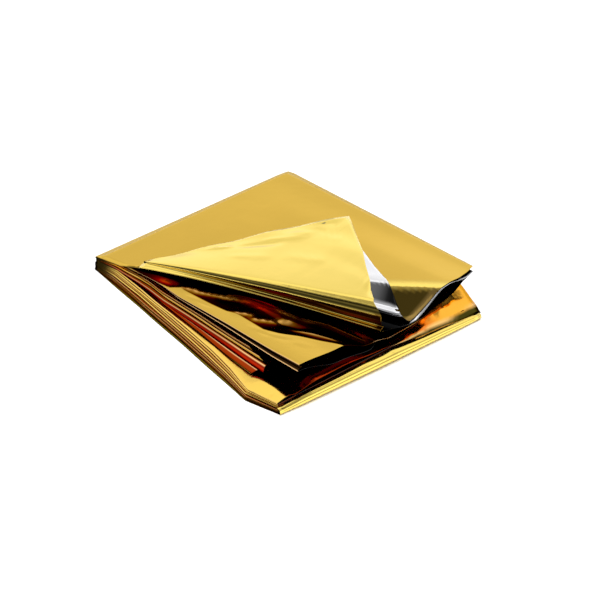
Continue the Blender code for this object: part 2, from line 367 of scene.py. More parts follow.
def film_places():
    """Each film's place in STACK: a puffed fold on top of each bundle, pressed ones under it."""
    places = np.zeros(FILMS)
    for a, b in zip(KEY_FILMS[:-1], KEY_FILMS[1:]):
        steps = []
        for film in range(a, b):
            room = PUFFED if film in BUNDLE_STARTS else PRESSED
            if film + 1 in BUNDLE_STARTS:
                room = ABOVE_BUNDLE
            steps.append(room * random.uniform(0.8, 1.2))
        ends = np.concatenate(([0.0], np.cumsum(steps)))
        places[a:b + 1] = a + ends / ends[-1] * (b - a)
    return places


PLACES = film_places()
BUNDLE_OF = np.searchsorted(BUNDLE_STARTS, np.arange(FILMS), side="right") - 1
WOBBLE = random.uniform(-1.0, 1.0, (FILMS, 10))


def key_value(place, column):
    """A STACK column at a place between its key films."""
    return float(np.interp(place, KEY_FILMS, [row[column] for row in STACK]))


def fan_height(place, y):
    """Height along the front-right side at a place in the stack."""
    i = min(int(np.searchsorted(KEY_FILMS, place, side="right")) - 1, len(KEY_FILMS) - 2)
    above, below = KEY_FILMS[i], KEY_FILMS[i + 1]
    upper, lower = blend(FAN_Y, FAN_HEIGHTS[above], y), blend(FAN_Y, FAN_HEIGHTS[below], y)
    return upper + (lower - upper) * (place - above) / (below - above)


# The middle sheet sinks towards the rolled crease beyond this line.
SINK_LINE = [
    (60.0, 12.0),
    (82.0, 15.0),
    (90.0, 20.5),
    (129.0, 22.5),
    (146.0, 24.2),
    (161.0, 28.0),
    (191.0, 27.5),
    (205.0, 33.5),
    (218.0, 43.0),
    (235.0, 51.0),
    (251.0, 59.5),
]
SINK_SLOPE, SINK_SOFT, SINK_REACH = 0.17, 1.0, 24.0
SINK_SHARE = 0.084      # share of the film's rows that lie before the line
FILM_GAP = 0.5

# Soft creases pressed into the sheets that show: film, ends, height, width.
RIDGES = [
    (2, (150, 24), (167, 42), 1.2, 3.4),
    (2, (168, 28), (195, 62), 1.3, 3.4),
    (2, (162, 62), (194, 67), 0.8, 1.8),
    (2, (192, 66), (216, 86), 1.2, 3.2),
    (2, (208, 82), (250, 90), 0.8, 2.0),
    (2, (198, 46), (250, 66), 0.8, 1.8),
    (2, (84, 17), (104, 34), 1.0, 3.0),
    (2, (96, 22), (134, 52), 1.0, 3.2),
    (2, (176, 46), (214, 58), -0.8, 3.4),
    (2, (120, 34), (150, 56), -0.8, 3.4),
    (2, (180, 21), (193, 27), 0.5, 1.3),
    (2, (190, 22), (203, 26), -0.6, 1.4),
    (2, (196, 24), (212, 33), 0.6, 1.4),
    (2, (206, 26), (226, 37), -0.6, 1.4),
    (2, (214, 30), (240, 42), 0.5, 1.5),
    (2, (104, 16), (116, 20), 0.5, 1.3),
    (2, (116, 17), (134, 21), -0.5, 1.4),
    (16, (212, -3), (246, -10), 0.9, 2.4),
    (16, (222, 2), (250, -4), 0.8, 2.4),
    (16, (238, 120), (262, 190), 1.2, 2.4),
    (16, (244, 150), (266, 140), 0.9, 1.6),
    (16, (236, 180), (266, 168), 1.2, 2.0),
    (16, (248, 200), (257, 160), 1.0, 1.8),
    (16, (252, 176), (266, 188), 1.0, 1.4),
    (16, (250, 186), (270, 196), 1.3, 1.2),
    (16, (256, 196), (270, 184), -1.2, 1.2),
    (16, (240, 160), (258, 172), -1.2, 1.6),
    (16, (244, 130), (262, 134), 0.9, 1.3),
]

# The same on the flap, which also ripples along its left edge.
FLAP_RIDGES = [
    ((58, 78), (74, 92), 1, 1.6),
    ((76, 96), (104, 130), -1.2, 2.6),
    ((84, 118), (112, 152), 0.85, 2.4),
    ((92, 140), (112, 162), 0.85, 2.2),
    ((100, 176), (118, 196), -0.85, 2.0),
    ((96, 168), (124, 178), 0.85, 2.0),
    ((112, 158), (140, 168), 0.68, 2.2),
    ((84, 78), (118, 104), 0.59, 3.0),
    ((120, 110), (160, 130), 0.59, 3.4),
]


def ridge(x, y, a, b, height, width):
    """Height of one crease: a soft ridge that dies away at both ends."""
    a, b = np.array(a, float), np.array(b, float)
    length = np.linalg.norm(b - a)
    ux, uy = (b - a) / length
    run = (x - a[0]) * ux + (y - a[1]) * uy
    off = np.abs((y - a[1]) * ux - (x - a[0]) * uy)
    ends = ease(0.0, 0.25 * length, run) * (1.0 - ease(0.75 * length, length, run))
    return height * ends * np.exp(-(off / width) ** 1.3)


def edge_gap(film, x, y):
    """Distance in X from a film's front-right edge."""
    return read(EDGES[film], y) - x


def slope_drop(run, back):
    """How far the top films have come down towards the roll."""
    u = np.maximum(run / ROLL_RUN, 0.0)
    foot, start, top = slope_foot(u), roll_radius(u), slope_top(u)
    band = SHOULDER_WIDTH * bare(u)
    shoulder = SHOULDER_TILT * np.clip(top + band - back, 0.0, band)
    below = FOOT_SHARE * bare(u)
    down = np.clip((top - back) / (top - foot + FOOT_ROOM), 0.0, 1.0) * (1.0 - below)
    down = down + below * np.clip((foot - back) / (foot - start + FOOT_ROOM), 0.0, 1.0)
    return shoulder + (SLOPE_DROP * u ** SLOPE_SPREAD - SHOULDER_TILT * band) * down


def above_slope(x, y):
    """Distance behind the top of the slope, and share of the way along the roll."""
    run, back = along_crease(x, y)
    u = np.maximum(run / ROLL_RUN, 0.0)
    return back - slope_top(u), u


def slope_band(x, y):
    """1 on the shoulder above the slope, where the film has begun to tilt."""
    gap, u = above_slope(x, y)
    return ease(-1.0, 1.0, gap) * (1.0 - ease(4.0, 12.0, gap)) * bare(u)


def edge_curl(film, x, y):
    """How far a top film curls up along its front-right edge."""
    curl = CURL_RISE * np.clip(CURL_WIDTH - edge_gap(film, x, y), 0.0, CURL_WIDTH)
    return curl * ease(*CURL_Y, y) * (1.0 - ease(*CURL_END_Y, y))


def hump_height(x, y, height, rise_x, fall_x, rise_y, fall_y, lost):
    """Height of one hump: a smooth rise, a straight fall towards the front-right edge."""
    across = ease(*rise_x, x) * np.interp(x, fall_x, (1.0, 0.0))
    return height * across * ease(*rise_y, y) * (1.0 - lost * ease(*fall_y, y))


def corner_rise(x, y):
    """How far the front corner of the sheet inside the hem rises."""
    rise = CORNER_RISE * np.clip(y - CORNER_Y[0], 0.0, CORNER_Y[1] - CORNER_Y[0])
    return rise * ease(*CORNER_X, x) * (1.0 - ease(*CORNER_END_Y, y))


def sunk(z, x, y):
    """The middle sheet's height, sunk beyond the sink line as far as the film below it."""
    beyond = np.clip(y - read(SINK_LINE, x), 0.0, SINK_REACH)
    drop = SINK_SLOPE * beyond * (1.0 - np.exp(-beyond / SINK_SOFT))
    return np.maximum(z - drop, film_height(MIDDLE + 1, x, y) + FILM_GAP)


def film_height(film, x, y):
    """Height of a film at plan points."""
    place = PLACES[film]
    flat = TOP_Z - (TOP_Z - LOW_Z) * place / LOWEST
    share = np.clip((x - LEFT_X) / FAN_SPAN, 0.0, FAN_REACH)
    z = flat + (fan_height(place, y) - flat) * share
    if film < MIDDLE:
        z = z - slope_drop(*along_crease(x, y)) + edge_curl(film, x, y)
    if film == INNER:
        z = z + corner_rise(x, y) - LIP_FALL * np.clip(x - read(LIP_LINE, y), 0.0, LIP_REACH)
    for hump in HUMPS.get(film, []):
        z = z + hump_height(x, y, *hump)
    if film == MIDDLE:
        z = sunk(z, x, y)
    for where, a, b, height, width in RIDGES:
        if where == film:
            z = z + ridge(x, y, a, b, height, width)
    return z


def stray(film, draw, amounts):
    """How far a film strays in one of its WOBBLE draws, with its bundle and with its pair."""
    of_bundle, of_pair = amounts
    return of_bundle * WOBBLE[BUNDLE_OF[film], draw] + of_pair * WOBBLE[film // 2, draw]


def near_line(film, s, left_x, front_x, left_y, front_y, knee, bow, loose):
    """Front-left edge of a film, with its bevel, its bow and its waves."""
    bundle = WOBBLE[BUNDLE_OF[film]]
    x = left_x + (front_x - left_x) * s
    y = left_y + (front_y - left_y) * s
    y = y - knee * np.where(s < KNEE_AT, s / KNEE_AT, (1.0 - s) / (1.0 - KNEE_AT))
    y = y + bow * np.interp(s, BOW_AT, BOW_TOP if film < INNER else BOW_LOW)
    waves = LONG_WAVE[0] * np.sin(LONG_WAVE[1] * s + 3.0 * bundle[2])
    waves = waves + SHORT_WAVE[0] * np.sin(SHORT_WAVE[1] * s + 3.0 * bundle[3])
    waves = waves + stray(film, 4, STRAY_SIDE)
    return x, y + loose * waves * np.minimum(4.0 * s, 1.0) * (1.0 - 0.6 * s)


def film_plan(film, s, t):
    """Plan of a film: s from left to front, t from front-left to back-right."""
    _, left_y, front_x, front_y, right_x, right_y, back_y, belly, knee, bow = [
        key_value(PLACES[film], column) for column in range(len(STACK[0]))
    ]
    loose = min(max(film - MIDDLE - 1, 0) / 3.0, 1.0)
    inset = (LEFT_INSET + stray(film, 0, STRAY_LEFT)) * loose
    front_end = front_x + stray(film, 1, STRAY_FRONT) * loose
    near_x, near_y = near_line(film, s, LEFT_X + inset, front_end, left_y, front_y, knee, bow, loose)
    if film < MIDDLE:
        near_x, near_y = front_line(film, s)
    back_end = right_x + stray(film, 5, STRAY_RIGHT) * loose
    far_x = BACK_X + inset + (back_end - BACK_X - inset) * s
    far_y = back_y + (right_y - back_y) * s + (stray(film, 6, STRAY_BACK) - BACK_INSET) * loose
    if film >= INNER:
        far_y = far_y + RIGHT_STEP * ease(0.0, STEP_AT, s) * (1.0 - ease(STEP_AT, 1.0, s))
    x = near_x + (far_x - near_x) * t
    y = near_y + (far_y - near_y) * t
    x = x + belly * np.sin(math.pi * t) * s ** BELLY_POWER
    if film in EDGES:
        edge_y = front_y + (right_y - front_y) * t
        x = x + (read(EDGES[film], edge_y) - front_x - (right_x - front_x) * t) * s ** EDGE_POWER
    corner = ROUNDED_BACK * ease(0.95, 1.0, t) * (1.0 - ease(0.0, 0.035, s))
    return x + corner, y - corner


def front_line(film, s):
    """Front edge of a top film's flat part: its free edge, then the start of the roll."""
    first = S[CREASE_COLUMN]
    at = np.clip(s / first, 0.0, 1.0)
    free_x, free_y = [np.interp(at, (0.0, 0.5, 1.0), values) for values in zip(*FREE_EDGE)]
    u = np.clip((s - first) / (1.0 - first), 0.0, 1.0)
    ledge = LEDGE * (1.0 - u) ** 2 - LEDGE_UNDER
    ahead = (ledge + INNER_AHEAD) * (1.0 - ease(0.0, INNER_AHEAD_END, u))
    back = -ledge if film else turn_back(0, u) - ahead
    x, y = crease_point(u * ROLL[film][0], back)
    return np.where(s < first, free_x, x), np.where(s < first, free_y, y)


def turn_back(film, u):
    """How far behind the crease's front line a top film's roll starts."""
    return roll_radius(u) if film else slope_foot(u) - TURN_BEYOND * bare(u)


def film_points(film, s, t):
    """Points of a film, as film_plan places them."""
    x, y = film_plan(film, s, t)
    return np.stack([x, y, film_height(film, x, y)], axis=-1)


# ------------------------------------------------------------------ painted light: how the colour deepens, darkens and brightens

# painted shade: films below a bundle's top one get only this share of its tint, so are darker
UNDER_TOP = 0.3         # share of its bundle's tint that a film below the bundle's top one has
FROM_LEFT = ease(0.0, 0.03, S)          # 0 at the left end, where painted shade takes over
AT_EDGE = ease(0.996, 1.0, S)           # 1 at the front-right edge
GLINT_HEIGHT = 0.7      # creases of the middle sheet above this height glint

# Soft oval spots of painted reflection, deep red and warm orange: film, tint, X, Y, half length, half
# width, turn in degrees.
SPOTS = [
    (2, (0.9, 0.05, 0.03, 0.12), 156.0, 60.0, 14.0, 7.0, 20.0),
    (2, (1.4, 0.3, 0.08, 0.12), 223.0, 98.0, 16.0, 9.0, 20.0),
    (2, (0.6, 0.2, 0.06, 0.12), 70.0, 21.0, 9.0, 4.0, 20.0),
    (16, (0.5, 0.03, 0.02, 0.1), 250.0, 70.0, 12.0, 7.0, 80.0),
]

# Painted reflections that take over along the sheet inside the hem: tint, Y where it starts and where
# it is whole.
INNER_TINTS = [
    (RED, 90.0, 118.0),
    (ORANGE, 118.0, 150.0),
    (YELLOW, 146.0, 172.0),
]


def mixed(a, b, share):
    """Between two tints, by a share for every point."""
    a, b = np.asarray(a, float), np.asarray(b, float)
    return a + (b - a) * np.asarray(share, float)[:, None]


def spot(points, x, y, long, wide, turn):
    """1 at the middle of a soft oval spot, 0 away from it."""
    dx, dy = points[:, 0] - x, points[:, 1] - y
    cos, sin = math.cos(math.radians(turn)), math.sin(math.radians(turn))
    return np.exp(-((dx * cos + dy * sin) / long) ** 2 - ((dy * cos - dx * sin) / wide) ** 2)


def fold_tint(film, angle):
    """Painted light on a fold, by the turn round it: a painted highlight on its crest, painted
    reflection and shade on its face, painted shade at the left end and on the back-right folds.
    """
    first, crest, face = BUNDLES[BUNDLE_OF[film]]
    if film % 2:
        tint = BACK_FOLD
    elif film == MIDDLE:
        tint = PEACH if angle < 0.5 or 2.2 < angle < 2.7 else DARK
    elif film == first:
        tint = crest if angle < 0.5 else DARK if angle > 2.6 else face
    else:
        tint = [UNDER_TOP * value for value in face]
    tint = mixed(LEFT_END_SHADE, tint, ease(0.04, 0.11, S))
    # painted light: the red faces are painted lighter towards the front
    if face is RED and film == first:
        tint[:, :3] *= (0.8 + 0.5 * ease(0.70, 0.92, S))[:, None]
    return tint


def flap_tint(film, points, angle):
    """Painted light over a flap and its roll, by the turn made round the roll: painted shade in bands
    round the roll, on its lower half and right end, and on the slope.
    """
    shares = S[CREASE_COLUMN:]
    gap, u = above_slope(points[:, 0], points[:, 1])
    tint = np.tile(BRIGHT, (len(points), 1))
    tint[:, 3] = 0.05
    if film == 0:
        _, back = along_crease(points[:, 0], points[:, 1])
        on_slope = (1.0 - ease(-1.0, 1.0, gap)) * ease(0.0, 3.0, back - slope_foot(u)) * bare(u)
        lit = 1.0 - on_slope * (0.7 + 0.28 * ease(0.90, 0.96, shares))
        tint[:, 3] = lit * (0.05 + 0.95 * ease(0.50, 0.56, shares))
    tint[:, :3] *= 1.0 - np.interp(angle, ROLL_BAND_AT, ROLL_BAND_DARK)[:, None]
    below = ease(-0.88, -0.78, angle) * (1.0 - ease(0.24, 0.34, angle)) * ease(0.12, 0.55, u)
    end = ease(0.972, 0.982, shares) * (1.0 - ease(0.34, 0.5, angle))
    return mixed(tint, ROLL_SHADE, np.maximum(below, end))


def with_spots(film, tint, points):
    """A film's tint with its SPOTS over it."""
    for where, colour, *place in SPOTS:
        if where == film:
            tint = mixed(tint, colour, spot(points, *place))
    return tint


def top_tint(points):
    """The topmost film: a painted highlight on the shoulder above the slope, painted shade on the slope
    and along its front-right edge, and dimmed film painted a little lighter towards the front.
    """
    x, y = points[:, 0], points[:, 1]
    gap, u = above_slope(x, y)
    tint = mixed(CALM, PLAIN, 0.2 * ease(60.0, 260.0, x))
    tint = mixed(tint, SHOULDER, 0.9 * slope_band(x, y))
    tint = mixed(tint, SLOPE, (1.0 - ease(-3.2, 0.2, gap)) * bare(u))
    return mixed(tint, RIM, ease(0.979, 0.985, S) * (1.0 - ease(162.0, 168.0, y)))


def lining_tint(points):
    """The film below it: its silver side is painted shade, bright only along the right of its
    front-right edge.
    """
    y = points[:, 1]
    strip = ease(0.975, 0.985, S) * (1.0 - ease(168.0, 176.0, y))
    tint = np.tile(PLAIN, (len(y), 1))
    tint[:, 3] = 0.012 + 0.98 * np.maximum(strip, AT_EDGE) * ease(128.0, 134.0, y)
    return tint


def middle_tint(points):
    """The middle sheet: painted shade beyond the sink line, where its creases get painted glints, with
    painted reflection spots, a painted highlight and painted shade along its edge, and painted shade at
    the left end.
    """
    x, y = points[:, 0], points[:, 1]
    beyond = y - read(SINK_LINE, x)
    tint = mixed(CALM, SUNKEN, ease(-0.1, 0.8, beyond))
    for where, a, b, height, width in RIDGES:
        if where == MIDDLE and height > GLINT_HEIGHT:
            glint = ridge(x, y, a, b, 0.9, 0.7 * width) * ease(0.0, 3.0, beyond)
            tint = mixed(tint, GLINT, glint)
    tint = with_spots(MIDDLE, tint, points)
    tint = mixed(tint, PEACH, AT_EDGE * ease(92.0, 100.0, y) * (1.0 - ease(140.0, 156.0, y)))
    tint = mixed(tint, DARK, AT_EDGE * ease(146.0, 156.0, y))
    return mixed(LEFT_END_SHADE, tint, ease(0.08, 0.2, S))


def mouth_tint(points):
    """The sheet under the middle one: painted shade, with a painted reflection that greys its silver
    side where the mouth opens.
    """
    x, y = points[:, 0], points[:, 1]
    grey = spot(points, 255.0, 92.0, 12.0, 8.0, 60.0)
    mouth = 0.5 * ease(222.0, 244.0, x) * (1.0 - ease(96.0, 116.0, y))
    return mixed(MOUTH, GREY_MOUTH, np.maximum(grey, mouth) * (1.0 - ease(0.985, 0.993, S)))


def inner_tint(points):
    """The sheet inside the hem: plain gold up to the mouth, then painted shadow and painted reflections
    in maroon, red, orange and yellow, with a painted highlight on the crease at its lip and painted
    shade beyond it.
    """
    x, y = points[:, 0], points[:, 1]
    tint = mixed(SHADOW, MAROON, ease(226.0, 246.0, x))
    for colour, start, whole in INNER_TINTS:
        tint = mixed(tint, colour, ease(start, whole, y))
    tint = with_spots(INNER, tint, points)
    tint = mixed(PLAIN, tint, ease(-0.6, 1.2, y + 0.02 * (x - 225.0)))
    past_lip = x - read(LIP_LINE, y)
    at_lip = ease(*LIP_Y, y)
    tint = mixed(tint, CREAM, ease(-1.6, -0.4, past_lip) * at_lip)
    tint = mixed(tint, WEDGE, ease(0.3, 1.6, past_lip) * at_lip)
    return mixed(LEFT_END_SHADE, tint, FROM_LEFT)


FILM_TINTS = {
    0: top_tint,
    1: lining_tint,
    MIDDLE: middle_tint,
    MIDDLE + 1: mouth_tint,
    INNER: inner_tint,
}


def painted_light_tint(film, points):
    """Painted light over a film's flat part."""
    if film in FILM_TINTS:
        return FILM_TINTS[film](points)
    # Painted shade: olive on the film above the lowest, deep red-brown on the other films that barely
    # show, dark at the left end.
    if film == LOWEST - 1:
        return np.tile(OLIVE, (len(points), 1))
    return mixed(LEFT_END_SHADE, HIDDEN, FROM_LEFT)


# ------------------------------------------------------------------ rows of points along the sheet

# Rows that a film is cut into, as far as NEAR_SHARE and beyond: fine where it shows.
FILM_ROWS = {0: (14, 20), 1: (6, 12), 2: (60, 8), 3: (16, 8), 16: (24, 26), 63: (8, 14)}
UPPER_ROWS, LOWER_ROWS = (2, 2), (1, 1)
FIRST_ROW = 0.006       # a film cut coarsely has one more row, this share of its depth from its fold

# Rows round a fold: at the edge of the middle sheet, on top of a bundle, and elsewhere.
MIDDLE_FOLD, TOP_FOLD, PLAIN_FOLD = 9, 6, 2
FOLD_BULGE = (0.05, 1.3)        # least and most that a fold stands out
JUST_INSIDE = (0.05, 0.95)      # shares of a film's depth near its two folds
GROOVE, GROOVE_AT, GROOVE_WIDTH = 3.5, 1.57, 0.5        # in the middle sheet's edge: depth, radians

ROLL_ROWS, FLAP_ROWS = 28, 24
LIP_STEPS = ((0.5, -0.06), (0.95, 0.04), (0.95, 0.5))   # share of the rise, share of the way back
OUTER_START = 0.9       # height of the outer roll's start over the sheet below
INNER_BELOW = 0.25      # how far the inner flap's edge lies below the outer one's
ROLL_LOWERED = 0.3      # share of a roll's added radius that it is lowered by
FLAP_HUMP = 0.6         # how much of a smooth curve the flap follows from the roll to its edge
FLAP_WAVE, FLAP_WAVE_LENGTH = 0.5, 7.0  # height of its waves, and mm to a radian across them
DRAWN_IN = (0.15, 0.5)  # share of a roll's turn after which its right end draws in, per film


def flat_rows(film, to_front):
    """Rows across a film, towards the front-left side or away from it."""
    near, far = FILM_ROWS.get(film, UPPER_ROWS if film < INNER else LOWER_ROWS)
    shares = [*np.linspace(0.0, NEAR_SHARE, near + 1), *np.linspace(NEAR_SHARE, 1.0, far + 1)[1:]]
    if film not in FILM_ROWS:
        shares.insert(1, FIRST_ROW)
    if to_front:
        shares.reverse()
    if film == MIDDLE:
        return [film_points(film, S, along_sink_line(t)) for t in shares]
    return [film_points(film, S, np.full(S.shape, t)) for t in shares]


def along_sink_line(t):
    """The middle sheet's rows, moved so that the one at SINK_SHARE runs along the sink line."""
    near_x, near_y = film_plan(MIDDLE, S, 0.0)
    _, far_y = film_plan(MIDDLE, S, 1.0)
    line = np.clip((read(SINK_LINE, near_x) - near_y) / (far_y - near_y), 0.01, 1.0)
    if t < SINK_SHARE:
        return line * t / SINK_SHARE
    return line + (1.0 - line) * (t - SINK_SHARE) / (1.0 - SINK_SHARE)


def fold_rows(film, side):
    """Rows round the fold that joins a film to the next one down, with the turn made at each."""
    t = np.full(S.shape, float(side))
    upper, lower = film_points(film, S, t), film_points(film + 1, S, t)
    inside = film_points(film, S, np.full(S.shape, JUST_INSIDE[side]))
    out = upper - inside
    out[:, 2] = 0.0
    out /= np.linalg.norm(out, axis=1)[:, None]
    half = (upper - lower) / 2
    bulge = np.clip(np.abs(half[:, 2]), *FOLD_BULGE)[:, None]
    count = PLAIN_FOLD if side or film not in BUNDLE_STARTS else TOP_FOLD
    groove = 0.0
    if film == MIDDLE:
        count, groove = MIDDLE_FOLD, GROOVE
    rows = []
    for k in range(1, count + 1):
        angle = math.pi * k / (count + 1)
        reach = math.sin(angle) - groove * math.exp(-((angle - GROOVE_AT) / GROOVE_WIDTH) ** 2)
        rows.append(((upper + lower) / 2 + half * math.cos(angle) + out * bulge * reach, angle))
    return rows


def outline_point(table, f):
    """Points a share f of the way along an outline, by its length in plan."""
    pts = np.array(table)
    runs = np.linalg.norm(np.diff(pts[:, :2], axis=0), axis=1)
    ends = np.concatenate(([0.0], np.cumsum(runs))) / runs.sum()
    return np.stack([np.interp(f, ends, pts[:, c]) for c in range(3)], axis=-1)


def flap_waves(x, y, k):
    """Soft waves of the flap, strongest along its left edge: k is 0 at the roll, 1 at the outline."""
    run, back = along_crease(x, y)
    waves = np.sin(back / FLAP_WAVE_LENGTH + 0.02 * run + 0.8 * np.sin(run / 31.0))
    z = FLAP_WAVE * ease(0.35, 1.0, k) * waves
    for a, b, height, width in FLAP_RIDGES:
        z = z + ridge(x, y, a, b, height, width) * ease(0.0, 0.3, k)
    return z


def lip_rows(base_row, u, radius, floor_z, start_angle):
    """Rows from the outer top film's ledge back to the start of its roll."""
    edge = base_row[CREASE_COLUMN:]
    x, y = crease_point(u * ROLL[1][0], radius * (1.0 - np.cos(start_angle)))
    rows = []
    for lift, towards in LIP_STEPS:
        px = edge[:, 0] + (x - edge[:, 0]) * towards
        py = edge[:, 1] + (y - edge[:, 1]) * towards
        z = edge[:, 2] + (floor_z + OUTER_START - edge[:, 2]) * lift
        rows.append((np.stack([px, py, z], axis=-1), start_angle))
    return rows


def flap_end(film, u):
    """The flap's outline for each column, lying over the top film."""
    left = np.clip(u / TIP_AT, 0.0, 1.0)
    right = np.clip((u - TIP_AT) / (1.0 - TIP_AT), 0.0, 1.0)
    end = np.where((u <= TIP_AT)[:, None], outline_point(FLAP_LEFT, left),
                   outline_point(FLAP_RIGHT[film], right))
    end[:, 2] += film_height(0, end[:, 0], end[:, 1]) - (0.0 if film else INNER_BELOW)
    return end


def roll_rows(film, base_row, u, tight):
    """Rows round a top film's roll, with the turn made at each: 0 is its front."""
    run_start, run_end, extra = ROLL[film]
    radius = roll_radius(u) + extra * u
    radius = radius + (TIGHT_RADIUS - radius) * tight
    start_back = turn_back(film, u)
    floor_z = film_height(0, *crease_point(u * run_start, start_back))
    start_angle = np.full(u.shape, -math.pi / 2)
    rows = []
    if film:
        start_angle = np.arcsin(np.clip((OUTER_START - radius) / radius, -1.0, 0.0))
        rows = lip_rows(base_row, u, radius, floor_z, start_angle)
    for k in range(1, ROLL_ROWS + 1):
        share = k / ROLL_ROWS
        angle = start_angle + (math.pi / 2 - start_angle) * share
        run = u * (run_start + (run_end - run_start) * ease(DRAWN_IN[film], 1.0, share))
        x, y = crease_point(run, start_back - radius * np.cos(angle))
        z = floor_z + radius * (1.0 + np.sin(angle)) - ROLL_LOWERED * extra * u * (1.0 - tight)
        rows.append((np.stack([x, y, z], axis=-1), angle))
    return rows


def flap_rows(film, base_row):
    """Rows of a top film's roll and flap, from the start of the roll, with the turn made at each."""
    u = (S[CREASE_COLUMN:] - S[CREASE_COLUMN]) / (1.0 - S[CREASE_COLUMN])
    tight = np.zeros(u.shape) if film else bare(u)
    rows = roll_rows(film, base_row, u, tight)
    tops, angle = rows[-1]
    end = flap_end(film, u)
    over_top = tops[:, 2] - film_height(0, tops[:, 0], tops[:, 1])
    over_end = end[:, 2] - film_height(0, end[:, 0], end[:, 1])
    for k in range(1, FLAP_ROWS + 1):
        share = k / FLAP_ROWS
        row = tops + (end - tops) * share
        hump = (tops[:, 2] - end[:, 2]) * (ease(0.0, 1.0, 1.0 - share) - (1.0 - share))
        row[:, 2] += FLAP_HUMP * hump
        lying = film_height(0, row[:, 0], row[:, 1]) + over_top + (over_end - over_top) * share
        row[:, 2] += (lying - row[:, 2]) * tight
        row[:, 2] += flap_waves(row[:, 0], row[:, 1], share) * (1.0 - tight)
        rows.append((row, angle))
    return rows


def hem_columns(edge):
    """Columns beyond the lowest film's front-right edge, rolled up in two soft bulges and a lip."""
    y = edge[:, 1]
    radius = blend(*zip(*HEM_ROLL), y)
    notch = NOTCH * np.exp(-((y - NOTCH_Y) / NOTCH_WIDTH) ** 2)
    flare = FLARE * np.exp(-((y - FLARE_Y) / FLARE_WIDTH) ** 2)
    columns = []
    for k in range(1, HEM_COLUMNS + 1):
        share = k / HEM_COLUMNS
        angle = -math.pi / 2 + HEM_TURN * share
        groove_turn = (math.degrees(angle) - HEM_GROOVE_AT) / HEM_GROOVE_WIDTH
        dent = 1.0 - notch * ease(0.3, 0.9, share) + flare * ease(0.6, 1.0, share)
        dent = dent * (1.0 - HEM_GROOVE * math.exp(-groove_turn ** 2))
        column = edge + HEM_OUT * (radius * dent * math.cos(angle))[:, None]
        column[:, 2] += radius * (1.0 + math.sin(angle) * dent)
        columns.append(column)
    columns.append(columns[-1] - HEM_OUT * HEM_LIP - np.array((0.0, 0.0, HEM_LIP_DROP)))
    return columns


# ------------------------------------------------------------------ the mesh

class Sheet:
    """Collects rows of points and the faces between them."""

    def __init__(self):
        self.points, self.tints, self.faces, self.count = [], [], [], 0

    def add(self, row, tint):
        """Add a row of points, and return their numbers."""
        self.points.append(np.asarray(row))
        self.tints.append(np.broadcast_to(np.asarray(tint), (len(row), 4)))
        self.count += len(row)
        return np.arange(self.count - len(row), self.count)

    def span(self, rows):
        """Faces between rows that follow each other."""
        for a, b in zip(rows[:-1], rows[1:]):
            self.faces.append(np.stack([a[:-1], b[:-1], b[1:], a[1:]], axis=-1))

    def mesh(self, name):
        """The mesh in metres, in the row frame, with its tints of painted light."""
        points = (np.concatenate(self.points) - SHIFT) * MM
        mesh = bpy.data.meshes.new(name)
        mesh.from_pydata(points.tolist(), [], np.concatenate(self.faces).tolist())
        mesh.polygons.foreach_set("use_smooth", [True] * len(mesh.polygons))
        mesh.update()
        tint = mesh.attributes.new("painted_light_tint", "FLOAT_COLOR", "POINT")
        tint.data.foreach_set("color", np.concatenate(self.tints).ravel())
        return mesh


def add_flap(sheet, film, points, rows):
    """Hang a top film's roll and flap on its edge: after its last row, or before its first."""
    near = 0 if film else -1
    strip = [rows[near][CREASE_COLUMN:]]
    for row, turn in flap_rows(film, points[near]):
        strip.append(sheet.add(row, flap_tint(film, row, turn)))
    sheet.span(strip[::-1] if film else strip)


def add_hem(sheet, points, rows):
    """Hang the rolled-up hem on the lowest film's front-right edge."""
    edge_points = np.stack([row[-1] for row in points])
    edge = np.array([row[-1] for row in rows])
    hem = [edge] + [sheet.add(column, HEM) for column in hem_columns(edge_points)]
    sheet.span(hem[::-1])


def folded_sheet():
    """The whole film, from the free flap on top, back and forth down to the rolled-up hem."""
    sheet = Sheet()
    previous = []
    for film in range(FILMS):
        points = flat_rows(film, to_front=film % 2 == 0)
        rows = [sheet.add(row, painted_light_tint(film, row)) for row in points]
        if film < MIDDLE:
            add_flap(sheet, film, points, rows)
        if film == LOWEST:
            add_hem(sheet, points, rows)
        rows = previous + rows
        if 0 < film < LOWEST:
            rows += [sheet.add(row, fold_tint(film, turn)) for row, turn in fold_rows(film, film % 2)]
        previous = rows[-1:] if film else []
        sheet.span(rows)
    return sheet.mesh("foil_blanket_film")


# ------------------------------------------------------------------ materials

